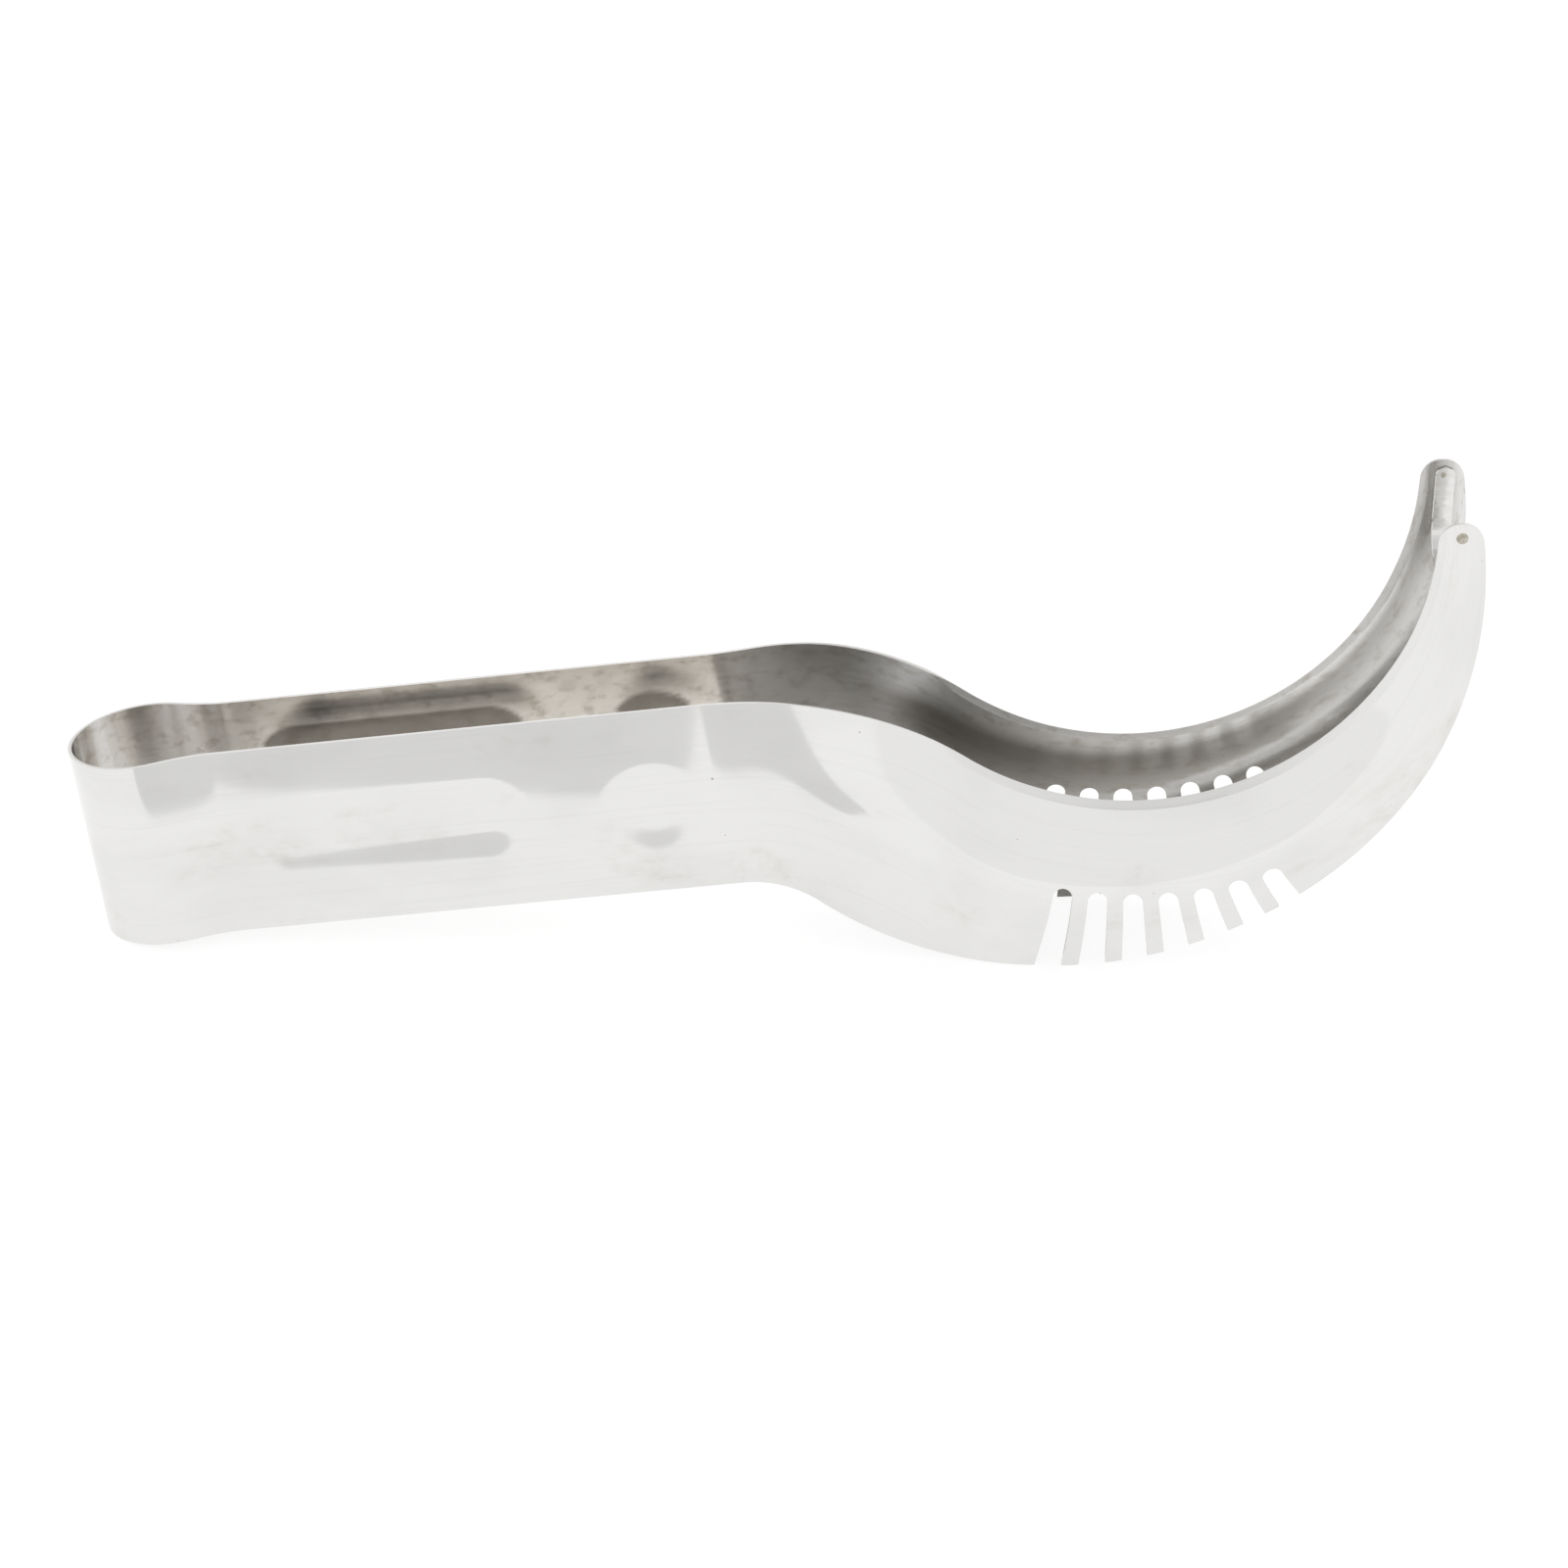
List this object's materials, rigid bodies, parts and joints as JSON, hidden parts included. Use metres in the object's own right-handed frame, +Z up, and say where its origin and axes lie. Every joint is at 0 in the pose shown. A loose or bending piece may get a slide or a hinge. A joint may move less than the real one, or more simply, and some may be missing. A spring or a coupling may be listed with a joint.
{
  "type": "melon slicer",
  "caption": "Sprung stainless strip bent into a U, with two curved toothed blades joined at the tips by a narrow cross blade, for slicing and lifting melon.",
  "frame": {"origin": "on the table, under the middle of the overall length, in the plane of symmetry", "axes": "+X along the slicer from the spring bend to the blade tips, +Z up as it stands on the table, +Y to the left arm's side"},
  "size_m": [0.2152, 0.0356, 0.0762],
  "materials": {
    "sheet_steel": "bright polished sheet with fine rolling grain",
    "blade_steel": "bright polished strip",
    "weld_steel": "dark heat-tinted weld mark"
  },
  "bodies": {
    "bow": {"rear_bow": "sheet_steel", "cross_blade": "blade_steel"},
    "left_grip": {"left_handle": "sheet_steel"},
    "left_slicer": {"left_blade": "sheet_steel", "left_spot_weld": "weld_steel"},
    "right_grip": {"right_handle": "sheet_steel"},
    "right_slicer": {"right_blade": "sheet_steel", "right_spot_weld": "weld_steel"}
  },
  "joints": [
    {"name": "left_flex", "type": "hinge", "parent": "bow", "child": "left_grip", "pos_m": [-0.08185, 0.0086, 0.01839], "axis": [0.1253, 0, -0.9921], "range_deg": [0, 2], "stiffness_Nm_per_rad": 8, "deforming": ["cross_blade"]},
    {"name": "right_flex", "type": "hinge", "parent": "bow", "child": "right_grip", "pos_m": [-0.08185, -0.0086, 0.01839], "axis": [-0.1253, 0, 0.9921], "range_deg": [0, 2], "stiffness_Nm_per_rad": 8, "deforming": ["cross_blade"]},
    {"name": "left_neck_flex", "type": "hinge", "parent": "left_grip", "child": "left_slicer", "pos_m": [-0.00645, 0.0092, 0.02791], "axis": [-0.1253, 0, 0.9921], "range_deg": [0, 3.4], "stiffness_Nm_per_rad": 8, "deforming": ["cross_blade"]},
    {"name": "right_neck_flex", "type": "hinge", "parent": "right_grip", "child": "right_slicer", "pos_m": [-0.00645, -0.0092, 0.02791], "axis": [0.1253, 0, -0.9921], "range_deg": [0, 3.4], "stiffness_Nm_per_rad": 8, "deforming": ["cross_blade"]}
  ],
  "couplings": [
    {"joint": "right_flex", "follows": "left_flex", "ratio": 1},
    {"joint": "left_neck_flex", "follows": "left_flex", "ratio": 1.657},
    {"joint": "right_neck_flex", "follows": "left_flex", "ratio": 1.657}
  ]
}
